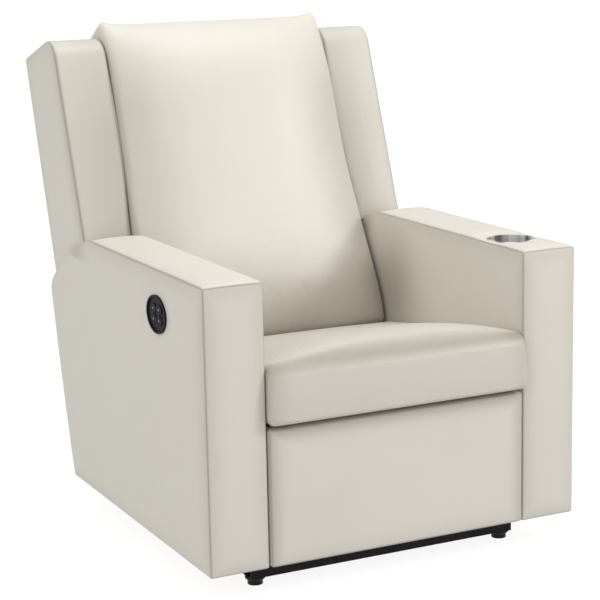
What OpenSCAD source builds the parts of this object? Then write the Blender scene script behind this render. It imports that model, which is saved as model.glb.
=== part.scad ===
// Power cinema recliner: padded shell arms, a reclining winged back, a fixed seat cushion and a
// footrest on folding links. X is the width, the front faces -Y, Z is up. Side points are given
// from the arms' front plane and the floor, and the whole is then centred front to back.

/* [Seat] */
// Clear width between the arms
seat_w = 560; // [520:1:620]
// Height of the seat cushion's underside
deck_h = 334; // [330:1:350]
// Height of the seat cushion's edge over its underside
seat_edge_h = 114; // [90:1:130]
// Extra height of the seat cushion's middle, behind its front edge
seat_crown = 45; // [15:1:50]
// How far the seat cushion's top falls to its rear end
seat_fall = 72; // [30:1:76]
// How far the seat cushion stands out in front of the arms
seat_nose = 15; // [5:1:30]
// Rear end of the seat cushion
seat_rear = 533; // [500:1:538]

/* [Arms] */
// Width of one arm
arm_w = 121.5; // [110:0.5:140]
// Height of the arm's top at the front
arm_h = 605; // [570:1:640]
// Height of the arm's lower edge
arm_lift = 55; // [50:1:70]
// Greatest depth of the arm, to its rear corner
arm_reach = 858; // [845:1:870]
// Thickness of the arm's front and top pads
pad_t = 14; // [10:1:20]
// Thickness of the arm's outer panel with its padding
outer_t = 15.5; // [12:0.5:18]
// Thickness of the arm's inner panel with its padding
inner_t = 10; // [8:0.5:12]

/* [Cup holder] */
// Distance of the cup holder from the arm's front
cup_y = 138; // [110:1:180]
// Inner radius of the cup
cup_r = 43; // [38:0.5:44]
// Depth of the cup
cup_depth = 72; // [55:1:85]
// Width of the cup's rim
cup_rim = 5.5; // [3:0.5:7]

/* [Back] */
// Rake of the back at rest, in degrees
rake = 17.2; // [14:0.1:20]
// Distance of the recline hinge from the arms' front
pivot_y = 650; // [640:1:660]
// Height of the recline hinge over the seat deck
pivot_rise = 61; // [55:1:70]
// Length of the back cushion above the hinge
back_top = 671; // [620:1:700]
// Length of the wings above the hinge
wing_top = 645; // [600:1:660]
// Distance of the back's rear face behind the hinge
back_rear = 187; // [180:1:192]
// Thickness of one wing
wing_w = 101; // [90:1:103]
// Extra thickness of the back cushion at its middle
back_crown = 34; // [15:1:40]

/* [Footrest] */
// How far the footrest panel's top edge lies below the seat deck
foot_drop = 8; // [7:1:30]
// Thickness of the footrest's padding
foot_pad_t = 24; // [15:1:25]
// Thickness of the footrest's board
foot_board_t = 18; // [12:1:18]
// How far the footrest links' upper hinge lies below the seat deck
link_drop = 18; // [17:1:19]

/* [Base] */
// Height of the glide feet
foot_h = 16; // [12:1:20]
// Radius of a glide foot where it meets the floor
foot_r = 15; // [12:0.5:18]

/* [Switch] */
// Length of the oval switch plate
switch_l = 95; // [85:1:110]
// Height of the oval switch plate
switch_h = 75; // [65:1:85]
// Travel of a button
button_travel = 2.5; // [1.5:0.1:3]

/* [Hidden] */
$fn = 48;

// overrun of cuts, gap between soft neighbours, gap between rigid neighbours, running clearance
over = 1;
soft_gap = 0.3;
gap = 1;
run_gap = 0.08;

half_w = seat_w / 2;
pivot_z = deck_h + pivot_rise;
foot_top = deck_h - foot_drop;
link_hinge_z = deck_h - link_drop;
arm_out = half_w + arm_w;
front_y = -(pivot_y + wing_top * sin(rake) + back_rear * cos(rake) - seat_nose) / 2;

// The arm's side outline, as shares of its reach and of its height over the lower edge
arm_side_share = [
  [0.879, 0], [0.944, 0.371], [1, 0.740], [0.992, 0.768], [0.972, 0.796], [0.930, 0.839],
  [0.887, 0.890], [0.840, 0.930], [0.790, 0.962], [0.737, 0.985]
];
arm_crest_share = arm_side_share[len(arm_side_share) - 1];
arm_rear_h = arm_lift + arm_crest_share[1] * (arm_h - arm_lift);
core_r = 177;
wing_r = 179;

// Steel parts
plate_t = 5;
bar_w = 40;
bar_wall = 2.5;
bar_y = 60;
rear_bar_y = 690;
bar_over = 13;
side_x = half_w - plate_t;
bolt_head_r = 7;
bolt_head_h = 5;

function se(v, e) = sign(v) * pow(abs(v), 2 / e);
function mean(ring) = [for (k = [0:2]) [for (p = ring) p[k]] * [for (p = ring) 1] / len(ring)];
function oval(l, h, n = 40) = [for (i = [0:n - 1]) [l / 2 * cos(360 * i / n), h / 2 * sin(360 * i / n)]];

// Moves side points to the part's own frame
module placed() { translate([0, front_y, 0]) children(); }

// Turns into the raked frame of the back: Y runs to the rear and Z up along the back
module in_back() { placed() translate([0, pivot_y, pivot_z]) rotate([-rake, 0, 0]) children(); }

// Stands a side outline up and gives it a width from x0 to x1
module slab(x0, x1) { translate([x0, 0, 0]) rotate([90, 0, 90]) linear_extrude(x1 - x0) children(); }

module block(lo, hi) { translate(lo) cube(hi - lo); }

// A round rod along X
module rod_x(x0, x1, y, z, r) { translate([x0, y, z]) rotate([0, 90, 0]) cylinder(h = x1 - x0, r = r); }

// A flat bar with round ends, in a plane
module bar_2d(a, b, r) {
  d = b - a;
  translate(a) rotate(atan2(d[1], d[0])) {
    circle(r);
    translate([norm(d), 0]) circle(r);
    translate([0, -r]) square([norm(d), 2 * r]);
  }
}

// A closed skin over rings of points that follow each other along X
module skin(rings) {
  n = len(rings);
  m = len(rings[0]);
  points = concat([for (r = rings) each r], [mean(rings[0]), mean(rings[n - 1])]);
  walls = [for (i = [0:n - 2], j = [0:m - 1])
    let (a = i * m + j, b = i * m + (j + 1) % m) each [[a, a + m, b], [b, a + m, b + m]]];
  caps = [for (j = [0:m - 1])
    let (k = (j + 1) % m) each [[n * m, j, k], [n * m + 1, (n - 1) * m + k, (n - 1) * m + j]]];
  polyhedron(points, concat(walls, caps));
}

// Both sides of the seat, mirrored
module pair() {
  children();
  mirror([1, 0, 0]) children();
}

module steel() { color([0.13, 0.13, 0.14]) children(); }
module zinc() { color([0.62, 0.63, 0.64]) children(); }
module cover() { color([0.83, 0.81, 0.76]) children(); }
module wood() { color([0.72, 0.58, 0.40]) children(); }
module plastic() { color([0.05, 0.05, 0.055]) children(); }

// Base frame: two cross tubes joined by side tubes, standing on four glides
module tube_bar(lo, hi, along) {
  wall = [for (k = [0:2]) k == along ? -over : bar_wall];
  difference() {
    block(lo, hi);
    block(lo + wall, hi - wall);
  }
}

module base_front_bar() {
  steel() placed()
    tube_bar([-half_w - bar_over, bar_y, foot_h], [half_w + bar_over, bar_y + bar_w, arm_lift], 0);
}

module base_rear_bar() {
  steel() placed()
    tube_bar([-half_w - bar_over, rear_bar_y, foot_h],
      [half_w + bar_over, rear_bar_y + bar_w, arm_lift], 0);
}

module base_side_rails() {
  steel() placed() pair()
    tube_bar([half_w - bar_w, bar_y + bar_w, foot_h], [half_w, rear_bar_y, arm_lift], 1);
}

foot_in = 4.5;
foot_x = half_w - foot_in;
glide_neck_share = 0.45;
glide_flare = 5;
module glide_feet() {
  plastic() placed() pair() for (y = [bar_y + bar_w / 2, rear_bar_y + bar_w / 2])
    translate([foot_x, y, 0]) rotate_extrude()
      polygon([[0, 0], [foot_r, 0], [foot_r, foot_h * glide_neck_share],
        [foot_r + glide_flare, foot_h * (1 - glide_neck_share / 2)],
        [foot_r + glide_flare, foot_h], [0, foot_h]]);
}

// Side plates of the mechanism: they stand on the side tubes and carry the deck, the links and
// the recline hinge
hinge_y = 105;
plate_drop = 7;
plate_top = deck_h - plate_drop;
plate_rise_y = 585;
hinge_eye_r = 26;
tube_r = 10;
pin_r = 6;
plate_rear_y = 690;
plate_window = 60;
module side_plate() {
  slab(side_x, side_x + plate_t) difference() {
    union() {
      polygon([[bar_y, arm_lift], [bar_y, plate_top],
        [plate_rise_y - plate_window, plate_top], [pivot_y - hinge_eye_r, pivot_z],
        [pivot_y + hinge_eye_r, pivot_z], [plate_rear_y, arm_lift]]);
      translate([pivot_y, pivot_z]) circle(hinge_eye_r);
    }
    translate([hinge_y, link_hinge_z]) circle(tube_r + run_gap);
    translate([pivot_y, pivot_z]) circle(pin_r + run_gap);
    for (k = [0:2])
      translate([bar_y + bar_w + plate_window + k * (plate_window * 2.5), arm_lift + plate_window])
        square([plate_window * 1.8, plate_window * 2]);
  }
}
module side_plates() { steel() placed() pair() side_plate(); }

// Flanged collars that carry the torque tube beside the plates
collar_w = 6;
collar_t = 5;
module hinge_bearings() {
  zinc() placed() pair() difference() {
    rod_x(side_x - collar_w, side_x, hinge_y, link_hinge_z, tube_r + collar_t);
    rod_x(side_x - collar_w - over, side_x + over, hinge_y, link_hinge_z, tube_r + run_gap);
  }
}

crossbar_y = 350;
crossbar_drop = 119;
crossbar_z = deck_h - crossbar_drop;
crossbar_h = 30;
module motor_crossbar() {
  steel() placed()
    tube_bar([-side_x, crossbar_y, crossbar_z], [side_x, crossbar_y + bar_w, crossbar_z + crossbar_h], 0);
}

// Hex bolts on the front tube's underside, beside the feet
bolt_in = 45;
module frame_bolts() {
  zinc() placed() pair() for (y = [bar_y + bar_w / 2, rear_bar_y + bar_w / 2])
    translate([half_w - bolt_in, y, foot_h - bolt_head_h])
      cylinder(h = bolt_head_h, r = bolt_head_r, $fn = 6);
}

// Seat deck: a front strap, a rear rail and serpentine springs between them
strap_y = 58;
strap_w = 32;
strap_t = 6;
strap_top = deck_h - soft_gap;
rail_w = 30;
rail_h = 34;
rear_rail_y = seat_rear - rail_w;
module seat_front_strap() {
  steel() placed()
    block([-side_x, strap_y, strap_top - strap_t], [side_x, strap_y + strap_w, strap_top]);
}
module seat_rear_rail() {
  steel() placed()
    tube_bar([-side_x, rear_rail_y, strap_top - rail_h], [side_x, rear_rail_y + rail_w, strap_top], 0);
}

spring_count = 5;
spring_turns = 7;
spring_sweep = 44;
wire = 4;
// One spring lies flat between two ends, with its turns swinging to both sides
module serpent(length, turns, sweep, wire) {
  step = length / (turns + 1);
  linear_extrude(wire) {
    translate([-wire / 2, 0]) square([wire, step / 2]);
    translate([-wire / 2, length - step / 2]) square([wire, step / 2]);
    for (k = [0:turns]) translate([-sweep / 2, step / 2 + k * step - wire / 2])
      if (k == 0) translate([sweep / 2, 0]) square([sweep / 2, wire]);
      else if (k == turns)
        translate([(turns % 2) * sweep / 2, 0]) square([sweep / 2, wire]);
      else square([sweep, wire]);
    for (k = [0:turns - 1]) translate([(k % 2 == 0 ? 1 : -1) * sweep / 2 - wire / 2, step / 2 + k * step])
      translate([0, -wire / 2]) square([wire, step + wire]);
  }
}
spring_pitch = seat_w / (spring_count + 1);
spring_z = strap_top - strap_t + wire / 4;
module seat_springs() {
  zinc() placed() for (k = [1:spring_count])
    translate([-half_w + k * spring_pitch, strap_y + strap_w, spring_z])
      serpent(rear_rail_y - strap_y - strap_w, spring_turns, spring_sweep, wire);
}

// Seat cushion: a crowned block of foam under a sewn cover, drawn in at its sides. A sewn crease
// runs along its front edge, and its top falls to the rear
seat_rings = 24;
seat_round = 12;
seat_cols = 40;
seat_rear_crown = 22;
crease_in = 16;
crease_w = 9;
crease_depth = 4;
swell_w = 26;
function swell(d) = 1 - exp(-max(0, d) / swell_w);
seat_mid = (seat_rear - seat_nose) / 2;
seat_half = (seat_rear + seat_nose) / 2;
function seat_ring(u) =
  let (draw = seat_round * pow(abs(u), 8), hy = seat_half - draw)
  [for (j = [0:seat_cols - 1])
    let (a = 360 * j / seat_cols, top = sin(a) > 0, e = top ? 7 : 12,
      y = seat_mid + hy * se(cos(a), e), d = y + seat_nose - crease_in,
      back = max(0, d / (2 * seat_half - crease_in)), h = seat_edge_h - seat_fall * back,
      crown = (seat_crown + (seat_rear_crown - seat_crown) * back) * (1 - u * u),
      rise = top ? crown * swell(d) * swell(seat_rear - y) : 0,
      fold = top ? crease_depth * exp(-pow(d / crease_w, 2)) : 0)
    [u * (half_w - gap), y,
      deck_h + h / 2 + (h / 2 - draw * 0.6) * se(sin(a), e) + rise - fold]];
module seat_cushion() {
  cover() placed() skin([for (i = [0:seat_rings]) seat_ring(-cos(180 * i / seat_rings))]);
}

// Rear skirt, fixed between the arms below the back
skirt_y = 722;
skirt_t = 12;
skirt_drop = 96;
skirt_top = deck_h - skirt_drop;
module rear_skirt() {
  cover() placed()
    block([-half_w + gap, skirt_y, arm_lift], [half_w - gap, skirt_y + skirt_t, skirt_top]);
}

// Arms
function arm_outline(front) = concat([[front, arm_lift]],
  [for (s = arm_side_share) [s[0] * arm_reach, arm_lift + s[1] * (arm_h - arm_lift)]],
  [[front, arm_h]]);
board = 18;
core_step = 12;
core_x0 = half_w + inner_t;
core_x1 = arm_out - outer_t;
wing_clear = 2;
wing_x1 = core_x1 - wing_clear;
arm_under = arm_h - pad_t;

// The arm's side, cut round behind the hinge so that the wing can turn over it
module core_2d(front, top_cut, r) {
  intersection() {
    polygon(arm_outline(front));
    union() {
      square([pivot_y, arm_h - top_cut]);
      translate([pivot_y - over, 0]) square([core_step + over, arm_h]);
      square([arm_reach, pivot_z - r / 2]);
      intersection() {
        translate([pivot_y, pivot_z]) circle(r, $fn = 96);
        translate([pivot_y, 0]) square([arm_reach, arm_h]);
      }
    }
  }
}
module arm_inner_panel() { slab(half_w, half_w + inner_t) core_2d(pad_t, pad_t, core_r); }
module arm_inner_panel_left() { cover() placed() mirror([1, 0, 0]) arm_inner_panel(); }
module arm_inner_panel_right() { cover() placed() arm_inner_panel(); }

module outer_2d() {
  intersection() {
    polygon(arm_outline(pad_t));
    union() {
      square([pivot_y, arm_under]);
      translate([pivot_y, 0]) square([arm_reach, arm_h]);
    }
  }
}
switch_y = 221;
switch_drop = 87;
switch_z = arm_h - switch_drop;
pocket_in = 12;
pocket_l = switch_l - pocket_in;
pocket_h = switch_h - pocket_in;
module arm_outer_panel() { slab(core_x1, arm_out) outer_2d(); }
module arm_outer_panel_left() {
  cover() placed() mirror([1, 0, 0]) difference() {
    arm_outer_panel();
    slab(core_x1 - over, arm_out + over) translate([switch_y, switch_z]) polygon(oval(pocket_l, pocket_h));
  }
}
module arm_outer_panel_right() { cover() placed() arm_outer_panel(); }

cup_x = half_w + arm_w / 2;
cup_wall = 1.2;
cup_fit = 0.6;
module cup_hole() {
  translate([cup_x, cup_y, arm_h - cup_depth - board])
    cylinder(h = cup_depth + board * 2, r = cup_r + cup_wall + cup_fit);
}
module arm_top_pad() {
  slab(half_w, arm_out)
    polygon([[pad_t, arm_under], [pivot_y, arm_under], [pivot_y, arm_rear_h],
      [arm_crest_share[0] * arm_reach, arm_rear_h], [pad_t, arm_h]]);
}
module arm_top_pad_left() { cover() placed() mirror([1, 0, 0]) arm_top_pad(); }
module arm_top_pad_right() {
  cover() placed() difference() {
    arm_top_pad();
    cup_hole();
  }
}
module arm_front_pad() { block([half_w, 0, arm_lift], [arm_out, pad_t, arm_h]); }
module arm_front_pad_left() { cover() placed() mirror([1, 0, 0]) arm_front_pad(); }
module arm_front_pad_right() { cover() placed() arm_front_pad(); }

// Boards inside the arm: posts, top and bottom boards and two knees under the top
post_y = 600;
module arm_frame_boards() {
  block([core_x0, pad_t, arm_lift], [core_x1, pad_t + board, arm_under - board]);
  block([core_x0, pad_t, arm_under - board], [core_x1, post_y + board, arm_under]);
  block([core_x0, post_y, arm_lift + board], [core_x1, post_y + board, arm_under - board]);
  block([core_x0, pad_t + board, arm_lift], [core_x1, plate_rear_y, arm_lift + board]);
}
module arm_frames() {
  wood() placed() {
    mirror([1, 0, 0]) arm_frame_boards();
    difference() {
      arm_frame_boards();
      cup_hole();
    }
  }
}

// Curved cover that closes the arm behind the hinge
rear_cover_t = 8;
module arm_rear_cover() {
  slab(core_x0, core_x1) difference() {
    core_2d(0, 0, core_r);
    translate([-rear_cover_t, -rear_cover_t / 2]) core_2d(0, 0, core_r);
    square([pivot_y, arm_h]);
  }
}
module arm_rear_covers() { cover() placed() pair() arm_rear_cover(); }

// Cup holder in the right arm, with a shallow well for its mat
mat_t = 3;
well_h = 4;
well_in = 2;
well_r = cup_r - well_in;
module cup_liner() {
  zinc() placed() translate([cup_x, cup_y, arm_h]) rotate_extrude($fn = 96)
    polygon([[0, -cup_depth], [well_r, -cup_depth], [well_r, well_h - cup_depth],
      [cup_r, well_h - cup_depth], [cup_r, cup_wall], [cup_r + cup_rim, cup_wall],
      [cup_r + cup_rim, 0], [cup_r + cup_wall, 0], [cup_r + cup_wall, -cup_depth - cup_wall],
      [0, -cup_depth - cup_wall]]);
}
module cup_mat() {
  plastic() placed() translate([cup_x, cup_y, arm_h - cup_depth]) cylinder(h = mat_t, r = well_r - gap);
}

// Switch in the left arm's outer side
bezel_h = 4;
bezel_rim = 4;
dish_t = 1.5;
button_l = 27;
button_h = 19;
button_w = 6;
button_gap_y = 14;
button_gap_z = 10.5;
button_proud = 1.5;
module button_holes(grow) {
  for (y = [-1, 1], z = [-1, 1]) translate([switch_y + y * button_gap_y, switch_z + z * button_gap_z])
    polygon(oval(button_l + grow * 2, button_h + grow * 2));
}
module switch_bezel() {
  plastic() placed() mirror([1, 0, 0]) {
    slab(arm_out, arm_out + bezel_h) difference() {
      translate([switch_y, switch_z]) polygon(oval(switch_l, switch_h));
      translate([switch_y, switch_z]) polygon(oval(switch_l - bezel_rim * 2, switch_h - bezel_rim * 2));
    }
    slab(arm_out, arm_out + dish_t) difference() {
      translate([switch_y, switch_z]) polygon(oval(switch_l, switch_h));
      button_holes(soft_gap);
    }
  }
}
body_depth = outer_t;
module switch_body() {
  plastic() placed() mirror([1, 0, 0])
    slab(arm_out - body_depth, arm_out - button_w) translate([switch_y, switch_z])
      polygon(oval(pocket_l - gap, pocket_h - gap));
}
module button(y, z) {
  plastic() placed() mirror([1, 0, 0])
    slab(arm_out - button_w + button_travel + soft_gap, arm_out + dish_t + button_proud)
      translate([switch_y + y * button_gap_y, switch_z + z * button_gap_z])
        polygon(oval(button_l, button_h));
}
module button_recline_back() { button(1, 1); }
module button_recline_up() { button(1, -1); }
module button_legs_out() { button(-1, 1); }
module button_legs_in() { button(-1, -1); }

supply_x = 120;
supply_w = 80;
supply_l = 90;
supply_h = 28;
module power_supply() {
  plastic() placed() translate([supply_x, crossbar_y + bar_w, crossbar_z])
    cube([supply_w, supply_l, supply_h]);
}

// Footrest links. The drive links turn with the torque tube, the carry links hang on their lower
// ends and carry the footrest, and the tilt links turn it upright or level
hinge = [hinge_y, link_hinge_z];
drive_lean = 5;
drive_len = 172;
knee = hinge - [drive_lean, drive_len];
carrier_lean = 27;
carrier_drop = 50;
carrier = hinge - [carrier_lean, carrier_drop];
tilt_low_lean = 7;
tilt_low_drop = 145;
tilt_low = hinge + [tilt_low_lean, -tilt_low_drop];
tilt_high_lean = 13.2;
tilt_high_drop = 23.4;
tilt_high = hinge - [tilt_high_lean, tilt_high_drop];
link_r = 8;
link_t = 5;
link_pin_r = 4;
link_in = 61;
link_x = side_x - link_in;
link_step = link_t + gap;
open_gap = 1.3;

function plane_x(k) = link_x + k * link_step;

module link(a, b, hole_b) {
  difference() {
    bar_2d(a, b, link_r);
    translate(a) circle(link_pin_r + run_gap);
    translate(b) circle(hole_b);
  }
}

module torque_tube() {
  zinc() placed() difference() {
    rod_x(-side_x - plate_t, side_x + plate_t, hinge_y, link_hinge_z, tube_r);
    rod_x(-side_x - plate_t - over, side_x + plate_t + over, hinge_y, link_hinge_z, tube_r - bar_wall);
  }
}
module drive_links() {
  zinc() placed() pair() slab(plane_x(2), plane_x(2) + link_t) difference() {
    union() {
      bar_2d(hinge, knee, link_r);
      translate(hinge) circle(tube_r + collar_t);
      bar_2d([(hinge[0] + knee[0]) / 2, tilt_low[1]], tilt_low, link_r);
    }
    translate(hinge) circle(tube_r);
    translate(knee) circle(link_pin_r);
    translate(tilt_low) circle(link_pin_r);
  }
}
module carry_links() {
  zinc() placed() pair() slab(plane_x(3), plane_x(3) + link_t)
    link(knee, carrier, link_pin_r + run_gap);
}
module tilt_links() {
  zinc() placed() pair() slab(plane_x(1), plane_x(1) + link_t)
    link(tilt_low, tilt_high, link_pin_r + open_gap);
}
module drive_link_pins() {
  zinc() placed() pair() {
    rod_x(plane_x(2), plane_x(3) + link_t + gap / 2, knee[0], knee[1], link_pin_r);
    rod_x(plane_x(1) - gap / 2, plane_x(2) + link_t, tilt_low[0], tilt_low[1], link_pin_r);
  }
}

// Footrest: a padded board on bent brackets
foot_face_y = 4;
board_y = foot_face_y + foot_pad_t;
board_rear_y = board_y + foot_board_t;
foot_bottom = arm_lift + gap;
bracket_h = 60;
module bracket_plate(k, at) {
  slab(plane_x(k), plane_x(k) + link_t) difference() {
    union() {
      bar_2d([board_rear_y + link_r, at[1]], at, link_r);
      translate([board_rear_y, at[1] - bracket_h]) square([link_pin_r * 2, bracket_h + link_r]);
    }
    translate(at) circle(link_pin_r);
  }
}
module footrest_brackets() {
  zinc() placed() pair() {
    bracket_plate(4, carrier);
    bracket_plate(0, tilt_high);
  }
}
pin_head_t = 2;
module bracket_pins() {
  zinc() placed() pair() {
    rod_x(plane_x(3) - gap / 2, plane_x(4) + link_t, carrier[0], carrier[1], link_pin_r);
    rod_x(plane_x(4) + link_t, plane_x(4) + link_t + pin_head_t, carrier[0], carrier[1], link_r);
    rod_x(plane_x(0), plane_x(1) + link_t + gap / 2, tilt_high[0], tilt_high[1], link_pin_r);
    rod_x(plane_x(0) - pin_head_t, plane_x(0), tilt_high[0], tilt_high[1], link_r);
  }
}
board_in = 8;
module footrest_board() {
  wood() placed() block([-half_w + board_in, board_y, foot_bottom + board_in],
    [half_w - board_in, board_rear_y, foot_top - board_in]);
}
foot_rings = 12;
foot_cols = 32;
foot_round = 5;
foot_side_gap = 2;
function foot_ring(u) =
  let (draw = foot_round * pow(abs(u), 12), hy = foot_pad_t / 2 - draw,
    hz = (foot_top - foot_bottom) / 2 - draw)
  [for (j = [0:foot_cols - 1]) let (a = 360 * (j + 0.5) / foot_cols, e = cos(a) > 0 ? 40 : 7)
    [u * (half_w - foot_side_gap), foot_face_y + foot_pad_t / 2 + hy * se(cos(a), e),
      (foot_top + foot_bottom) / 2 + hz * se(sin(a), 14)]];
module footrest_pad() {
  cover() placed() skin([for (i = [0:foot_rings]) foot_ring(-cos(180 * i / foot_rings))]);
}

// Drives. Each is a gearmotor with a rail, and a sliding block whose slotted lug holds the pin of
// a crank; the slot takes up the crank pin's rise and fall
crank_x = 8;
crank_t = 4;
crank_r = 9;
crank_pin_r = 5;
lug_half = 6;
rail_half = 15;
rail_z = crossbar_z - gap;
rail_t = 20;
slide_gap = 0.3;
block_h = 18;
block_l = 40;
block_half = 22;
slot_play = 1.3;
motor_r = 27;
motor_drop = 105;
gear_half = 30;
gear_drop = 12;
gear_z = crossbar_z - gear_drop;
gear_h = 60;

leg_sweep = 88;
leg_crank = 50;
leg_mean_share = 0.712;
leg_pin = hinge + leg_crank * [sin(leg_sweep / 2), -cos(leg_sweep / 2)];
leg_slot_y = hinge_y + leg_mean_share * leg_crank;
leg_low = link_hinge_z - leg_crank;
leg_block_y = 180;
leg_rail_y0 = 100;
leg_gear_y0 = 268;
clevis_l = 10;

module crank_plates(a, b) {
  for (x = [-crank_x - crank_t, crank_x]) slab(x, x + crank_t) difference() {
    bar_2d(a, b, crank_r);
    translate(b) circle(crank_pin_r);
    children();
  }
}
module legrest_crank() {
  zinc() placed() {
    crank_plates(hinge, leg_pin) translate(hinge) circle(tube_r);
    rod_x(-crank_x - crank_t, crank_x + crank_t, leg_pin[0], leg_pin[1], crank_pin_r);
  }
}

// A sliding block: y0 is its front end, slot_y, low and high are its slot's place and ends
module slider(y0, slot_y, low, high, arm_z, play) {
  arm_y0 = slot_y < y0 ? slot_y : y0 + block_l;
  arm_y1 = slot_y < y0 ? y0 : slot_y;
  block([-block_half, y0, rail_z + rail_t + slide_gap],
    [block_half, y0 + block_l, rail_z + rail_t + slide_gap + block_h]);
  reach = crank_pin_r + play + link_r;
  slab(-lug_half, lug_half) difference() {
    union() {
      bar_2d([slot_y, arm_z + reach / 2], [slot_y, high], reach);
      translate([arm_y0, arm_z]) square([arm_y1 - arm_y0, reach]);
    }
    translate([slot_y, low]) circle(crank_pin_r + play);
    translate([slot_y, high]) circle(crank_pin_r + play);
    translate([slot_y - crank_pin_r - play, low]) square([2 * (crank_pin_r + play), high - low]);
    translate([slot_y - reach * 2, rail_z - over]) square([reach * 4, rail_t + over + slide_gap]);
  }
}
module rail(y0, y1) {
  difference() {
    block([-rail_half, y0, rail_z], [rail_half, y1, rail_z + rail_t]);
    block([-rail_half + bar_wall, y0 + bar_wall, rail_z + bar_wall],
      [rail_half - bar_wall, y1 + over, rail_z + rail_t - bar_wall]);
  }
}
module gearmotor(y0, y1, clevis_y) {
  block([-gear_half, y0, gear_z], [gear_half, y1, gear_z + gear_h]);
  translate([0, (y0 + y1) / 2, gear_z - motor_drop]) cylinder(h = motor_drop, r = motor_r);
  block([-rail_half, min(clevis_y, y1), crossbar_z],
    [rail_half, max(y0, clevis_y), crossbar_z + crossbar_h]);
}
module legrest_motor() {
  plastic() placed() gearmotor(leg_gear_y0, crossbar_y - clevis_l, crossbar_y);
}
module legrest_rail() { steel() placed() rail(leg_rail_y0, leg_gear_y0); }
module legrest_slider() {
  zinc() placed()
    slider(leg_block_y, leg_slot_y, leg_low, leg_pin[1], rail_z + rail_t + slide_gap, slot_play);
}

back_crank = 110;
back_pin_tilt = 19;
back_play = 0.6;
back_pin = [pivot_y, pivot_z] + back_crank * [sin(back_pin_tilt), -cos(back_pin_tilt)];
back_slot_share = 0.3264;
back_slot_y = pivot_y + back_slot_share * back_crank;
back_low = pivot_z - back_crank;
back_gear_y0 = 400;
back_gear_y1 = 470;
back_rail_y1 = 612;
back_block_y = 570;
back_arm_rise = 33;
back_arm_z = crossbar_z + back_arm_rise;
module recline_motor() {
  plastic() placed() gearmotor(back_gear_y0, back_gear_y1, crossbar_y + bar_w);
}
module recline_rail() { steel() placed() rail(back_gear_y1, back_rail_y1); }
module recline_slider() {
  zinc() placed()
    slider(back_block_y, back_slot_y, back_low, back_pin[1], back_arm_z, back_play);
}

// Back frame: two uprights, cross rails, two long rails that carry the wings, and springs
upright_w = 40;
recline_t = 6;
plate_side_gap = 7;
recline_x = side_x - plate_side_gap - recline_t;
upright_x0 = recline_x - upright_w;
upright_t0 = 100;
upright_t1 = 147;
foot_t1 = 126;
foot_w0 = -70;
knee_w = -8;
frame_top = 640;
module back_uprights() {
  steel() in_back() pair() slab(upright_x0, upright_x0 + upright_w)
    polygon([[upright_t0, foot_w0], [foot_t1, foot_w0], [upright_t1, knee_w],
      [upright_t1, frame_top], [upright_t0, frame_top]]);
}
low_rail_w0 = -62;
low_rail_w1 = -26;
module back_cross_rails() {
  steel() in_back() {
    tube_bar([-upright_x0, upright_t0, frame_top - bar_w], [upright_x0, upright_t1, frame_top], 0);
    tube_bar([-upright_x0, upright_t0, low_rail_w0], [upright_x0, foot_t1, low_rail_w1], 0);
  }
}
wing_rail_t = 20;
wing_board_t = 19;
skin_t = back_rear - wing_board_t;
wing_rail_w0 = 240;
wing_rail_w1 = 560;
module wing_rails() {
  wood() in_back() for (w = [wing_rail_w0, wing_rail_w1])
    block([-side_x, upright_t1, w], [side_x, skin_t, w + bar_w]);
}
back_spring_low = 80;
back_spring_step = 110;
back_spring_turns = 9;
spring_end = 12;
module back_springs() {
  zinc() in_back() for (k = [0:spring_count - 1])
    translate([-upright_x0 - spring_end, upright_t0, back_spring_low + k * back_spring_step])
      rotate([0, 90, 0]) rotate([90, 0, 0])
      serpent(2 * (upright_x0 + spring_end), back_spring_turns, spring_sweep, wire);
}
recline_eye_r = 20;
recline_plate_h = 90;
module recline_arms() {
  steel() in_back() pair() slab(recline_x, recline_x + recline_t) difference() {
    union() {
      circle(recline_eye_r);
      polygon([[0, -recline_eye_r], [upright_t0 + plate_t, -recline_eye_r * 2],
        [foot_t1, -recline_eye_r * 2], [foot_t1, recline_plate_h], [upright_t0, recline_plate_h],
        [0, recline_eye_r]]);
    }
    circle(pin_r);
  }
}
module recline_pins() {
  zinc() in_back() pair() {
    rod_x(recline_x, side_x + plate_t, 0, 0, pin_r);
    rod_x(recline_x - pin_head_t, recline_x, 0, 0, pin_r * 2);
  }
}
elbow_t = 105;
elbow_drop = 94;
crank_elbow = [elbow_t, -elbow_drop];
root_t = 113;
root_drop = 44;
crank_root = [root_t, -root_drop];
back_pin_local = back_crank * [sin(rake + back_pin_tilt), -cos(rake + back_pin_tilt)];
module recline_crank() {
  zinc() in_back() {
    for (x = [-crank_x - crank_t, crank_x]) slab(x, x + crank_t) difference() {
      union() {
        bar_2d(crank_root, crank_elbow, crank_r);
        bar_2d(crank_elbow, back_pin_local, crank_r);
      }
      translate(back_pin_local) circle(crank_pin_r);
      translate([upright_t0, low_rail_w0]) square([bar_w, bar_w]);
    }
    rod_x(-crank_x - crank_t, crank_x + crank_t, back_pin_local[0], back_pin_local[1], crank_pin_r);
  }
}

// Back cushion: full and crowned, its top corners drawn out to points, its sides drawn in
back_half = side_x - gap;
back_low_w = -62;
back_cushion_rear = upright_t0 - wire - soft_gap;
back_flange = 34;
back_flange_share = 0.93;
back_cols = 44;
back_rings = 26;
back_draw = 20;
top_half_share = 0.934;
top_sag = 6;
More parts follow.
